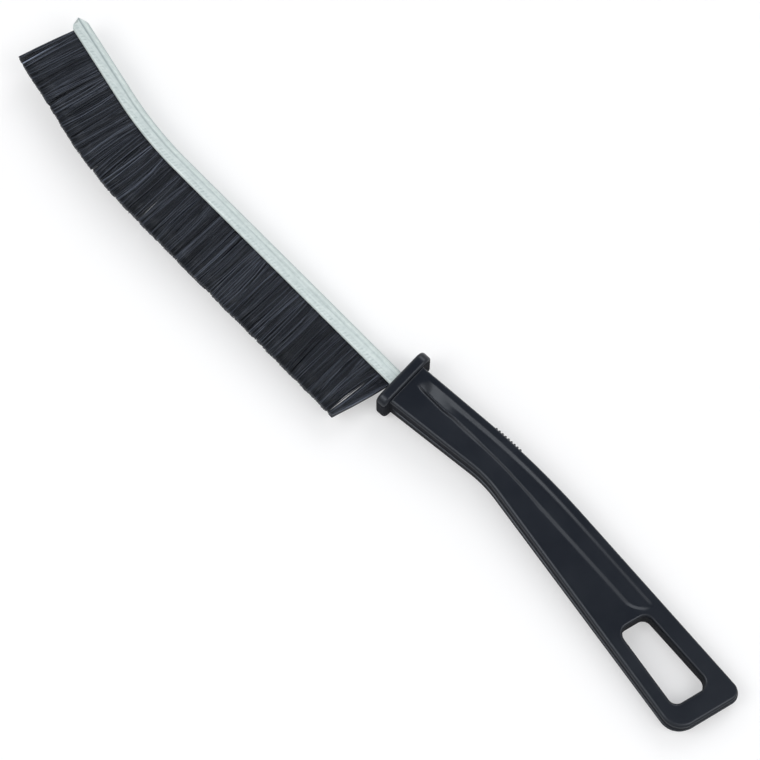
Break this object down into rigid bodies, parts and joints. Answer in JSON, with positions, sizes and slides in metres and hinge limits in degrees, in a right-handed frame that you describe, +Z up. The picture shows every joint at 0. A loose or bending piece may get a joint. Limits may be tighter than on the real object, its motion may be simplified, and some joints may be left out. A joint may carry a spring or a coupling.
{
  "type": "crevice brush",
  "caption": "Slim crevice brush: a moulded handle with a guard and hanging slot holds a bent steel channel gripping a row of folded filaments.",
  "frame": {"origin": "under the middle of the brush's box, on the plane that its lowest face, the guard's underside, rests on", "axes": "+X along the straight part of the channel from the tip to the handle's tail, +Y towards the back of the channel, away from the filament tips, +Z up through the brush's thickness"},
  "size_m": [0.2856, 0.0324, 0.0136],
  "materials": {
    "handle_plastic": "moulded, satin",
    "channel_steel": "galvanised, rolled",
    "wire_steel": "drawn",
    "filament_black": "drawn filament"
  },
  "bodies": {
    "root": {"bristle_lock_01": "filament_black", "bristle_lock_02": "filament_black", "bristle_lock_03": "filament_black", "bristle_lock_04": "filament_black", "bristle_lock_05": "filament_black", "bristle_lock_06": "filament_black", "bristle_lock_07": "filament_black", "bristle_lock_08": "filament_black", "bristle_lock_09": "filament_black", "bristle_lock_10": "filament_black", "bristle_lock_11": "filament_black", "bristle_lock_12": "filament_black", "bristle_lock_13": "filament_black", "bristle_lock_14": "filament_black", "bristle_lock_15": "filament_black", "bristle_lock_16": "filament_black", "bristle_lock_17": "filament_black", "bristle_lock_18": "filament_black", "bristle_lock_19": "filament_black", "bristle_lock_20": "filament_black", "bristle_lock_21": "filament_black", "bristle_lock_22": "filament_black", "bristle_lock_23": "filament_black", "bristle_lock_24": "filament_black", "bristle_lock_25": "filament_black", "bristle_lock_26": "filament_black", "bristle_lock_27": "filament_black", "bristle_lock_28": "filament_black", "bristle_lock_29": "filament_black", "bristle_lock_30": "filament_black", "bristle_lock_31": "filament_black", "bristle_lock_32": "filament_black", "bristle_lock_33": "filament_black", "bristle_lock_34": "filament_black", "bristle_lock_35": "filament_black", "bristle_lock_36": "filament_black", "bristle_lock_37": "filament_black", "bristle_lock_38": "filament_black", "channel": "channel_steel", "core_wire": "wire_steel", "handle": "handle_plastic"}
  },
  "joints": []
}
